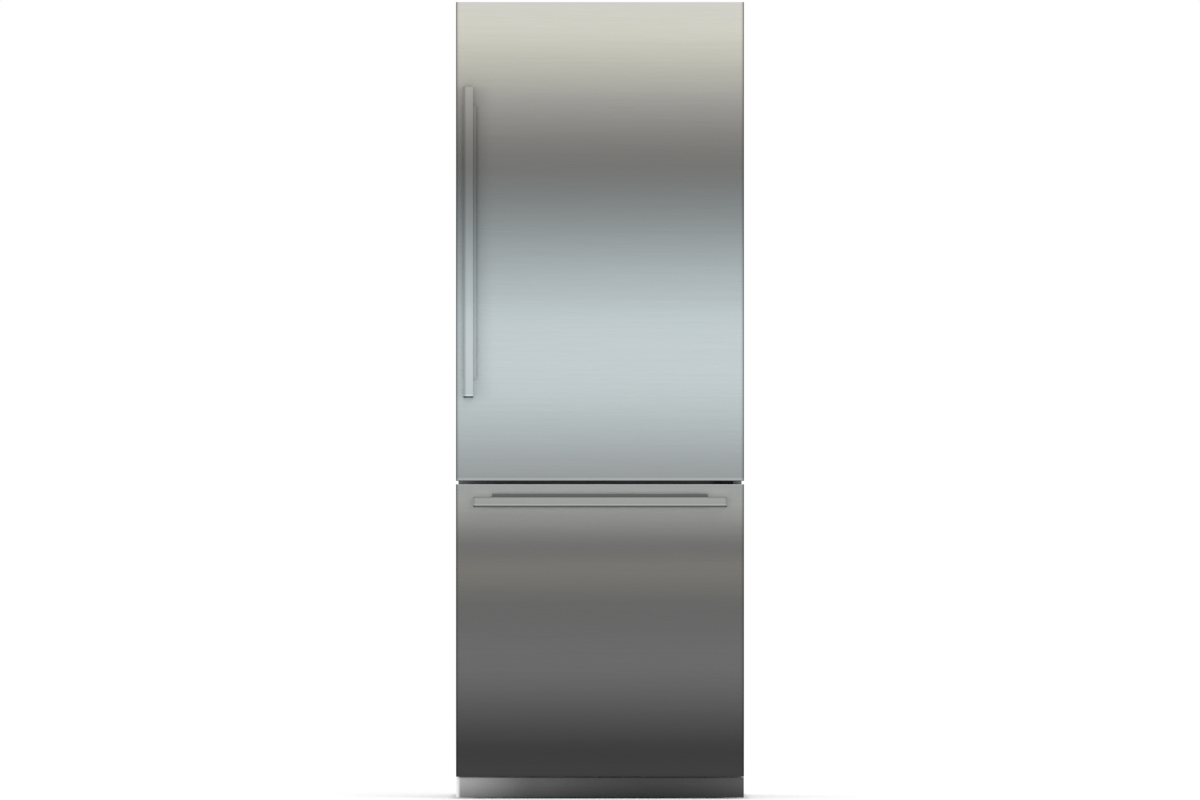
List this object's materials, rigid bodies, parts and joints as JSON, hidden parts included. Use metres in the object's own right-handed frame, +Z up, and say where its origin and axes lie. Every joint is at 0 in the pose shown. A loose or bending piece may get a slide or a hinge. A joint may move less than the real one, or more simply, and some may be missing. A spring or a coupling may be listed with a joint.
{
  "type": "built-in refrigerator",
  "caption": "Built-in refrigerator with a tall right-hinged door over a freezer drawer, flat steel panels, slim bar handles and a recessed toe kick.",
  "frame": {"origin": "on the floor, in the middle of the width and of the whole depth with handles", "axes": "+Z up, front faces -Y, hinges at +X"},
  "size_m": [0.762, 0.659, 2.108],
  "materials": {
    "brushed_stainless": "brushed across the width, satin",
    "handle_steel": "brushed along the bar, satin",
    "grip_liner": "dark anodised",
    "toe_kick_steel": "brushed, darker",
    "galvanised_steel": "light grey coated sheet",
    "front_rail_steel": "white coated sheet",
    "zinc_steel": "zinc plated",
    "foam": "cellular, stands in for rigid foam",
    "liner_plastic": "vacuum formed, white",
    "basket_plastic": "moulded, white",
    "clear_plastic": "clear moulded",
    "black_plastic": "fine texture",
    "roller_plastic": "hard nylon",
    "bush_plastic": "acetal",
    "fan_plastic": "moulded",
    "light_diffuser": "opal",
    "control_glass": "black gloss",
    "shelf_glass": "toughened, polished edge",
    "trim_aluminium": "satin anodised",
    "gasket_rubber": "soft, grey",
    "rubber": "moulded",
    "compressor_paint": "black enamel",
    "condenser_steel": "black enamel",
    "copper": "drawn copper tube",
    "evaporator_aluminium": "plain"
  },
  "bodies": {
    "cabinet": {"outer_shell": "galvanised_steel", "rear_panel": "galvanised_steel", "base_tray": "galvanised_steel", "machine_cover": "galvanised_steel", "top_bracket": "zinc_steel", "cabinet_foam": "foam", "fridge_liner": "liner_plastic", "freezer_liner": "liner_plastic", "freezer_duct_cover": "liner_plastic", "fridge_duct_cover": "liner_plastic", "front_rails": "front_rail_steel", "toe_kick": "toe_kick_steel", "power_inlet": "black_plastic", "control_box": "black_plastic", "fan_shroud": "black_plastic", "drip_tray": "black_plastic", "compressor": "compressor_paint", "compressor_mounts": "rubber", "condenser": "condenser_steel", "refrigerant_lines": "copper", "evaporators": "evaporator_aluminium", "side_lights": "light_diffuser", "control_panel": "control_glass", "crisper_cover": "shelf_glass", "shelf_glass_1": "shelf_glass", "shelf_glass_2": "shelf_glass", "shelf_glass_3": "shelf_glass", "shelf_trims": "trim_aluminium", "door_hinges": "zinc_steel", "runners_fixed": "zinc_steel"},
    "door": {"door_panel": "brushed_stainless", "door_foam": "foam", "door_liner": "liner_plastic", "door_gasket": "gasket_rubber", "door_handle": "handle_steel", "door_grip": "grip_liner", "door_bushes": "bush_plastic"},
    "drawer": {"drawer_panel": "brushed_stainless", "drawer_foam": "foam", "drawer_liner": "liner_plastic", "drawer_gasket": "gasket_rubber", "drawer_handle": "handle_steel", "drawer_grip": "grip_liner", "runners_inner": "zinc_steel", "freezer_basket": "basket_plastic"},
    "foot_left": {"foot_left": "zinc_steel"},
    "foot_right": {"foot_right": "zinc_steel"},
    "roller_left": {"roller_left": "roller_plastic"},
    "roller_right": {"roller_right": "roller_plastic"},
    "condenser_fan": {"condenser_fan": "fan_plastic"},
    "freezer_fan": {"freezer_fan": "fan_plastic"},
    "fridge_fan": {"fridge_fan": "fan_plastic"},
    "crisper_left": {"crisper_left": "clear_plastic"},
    "crisper_right": {"crisper_right": "clear_plastic"},
    "runner_middle": {"runners_middle": "zinc_steel"},
    "stabiliser": {"stabiliser_shaft": "zinc_steel"},
    "door_bin_1": {"door_bin_1": "clear_plastic"},
    "door_bin_2": {"door_bin_2": "clear_plastic"},
    "door_bin_3": {"door_bin_3": "clear_plastic"},
    "freezer_tray": {"freezer_tray": "basket_plastic"}
  },
  "joints": [
    {"name": "door_hinge", "type": "hinge", "parent": "cabinet", "child": "door", "pos_m": [0.361, -0.2515, 0.8512], "axis": [0, 0, 1], "range_deg": [0, 115]},
    {"name": "drawer_slide", "type": "slide", "parent": "cabinet", "child": "drawer", "axis": [0, -1, 0], "range_m": [0, 0.38]},
    {"name": "runner_middle_slide", "type": "slide", "parent": "cabinet", "child": "runner_middle", "axis": [0, -1, 0], "range_m": [0, 0.19]},
    {"name": "stabiliser_turn", "type": "hinge", "parent": "drawer", "child": "stabiliser", "pos_m": [0, 0.199, 0.37775], "axis": [1, 0, 0], "range_deg": [0, 1210]},
    {"name": "freezer_tray_slide", "type": "slide", "parent": "drawer", "child": "freezer_tray", "axis": [0, 1, 0], "range_m": [0, 0.12]},
    {"name": "crisper_left_slide", "type": "slide", "parent": "cabinet", "child": "crisper_left", "axis": [0, -1, 0], "range_m": [0, 0.095]},
    {"name": "crisper_right_slide", "type": "slide", "parent": "cabinet", "child": "crisper_right", "axis": [0, -1, 0], "range_m": [0, 0.095]},
    {"name": "door_bin_1_lift", "type": "slide", "parent": "door", "child": "door_bin_1", "axis": [0, 0, 1], "range_m": [0, 0.018]},
    {"name": "door_bin_2_lift", "type": "slide", "parent": "door", "child": "door_bin_2", "axis": [0, 0, 1], "range_m": [0, 0.018]},
    {"name": "door_bin_3_lift", "type": "slide", "parent": "door", "child": "door_bin_3", "axis": [0, 0, 1], "range_m": [0, 0.018]},
    {"name": "condenser_fan_spin", "type": "hinge", "parent": "cabinet", "child": "condenser_fan", "pos_m": [-0.165, -0.093, 0.121], "axis": [0, 1, 0], "continuous": true},
    {"name": "freezer_fan_spin", "type": "hinge", "parent": "cabinet", "child": "freezer_fan", "pos_m": [0, 0.229, 0.69], "axis": [0, 1, 0], "continuous": true},
    {"name": "fridge_fan_spin", "type": "hinge", "parent": "cabinet", "child": "fridge_fan", "pos_m": [0, 0.229, 1.88], "axis": [0, 1, 0], "continuous": true},
    {"name": "roller_left_roll", "type": "hinge", "parent": "cabinet", "child": "roller_left", "pos_m": [-0.32, 0.2695, 0.019], "axis": [1, 0, 0], "continuous": true},
    {"name": "foot_left_turn", "type": "hinge", "parent": "cabinet", "child": "foot_left", "pos_m": [-0.32, -0.1645, 0], "axis": [0, 0, 1], "continuous": true},
    {"name": "roller_right_roll", "type": "hinge", "parent": "cabinet", "child": "roller_right", "pos_m": [0.32, 0.2695, 0.019], "axis": [1, 0, 0], "continuous": true},
    {"name": "foot_right_turn", "type": "hinge", "parent": "cabinet", "child": "foot_right", "pos_m": [0.32, -0.1645, 0], "axis": [0, 0, 1], "continuous": true}
  ],
  "couplings": [
    {"joint": "runner_middle_slide", "follows": "drawer_slide", "ratio": 0.5},
    {"joint": "stabiliser_turn", "follows": "drawer_slide", "rad_per_m": 55.556}
  ]
}
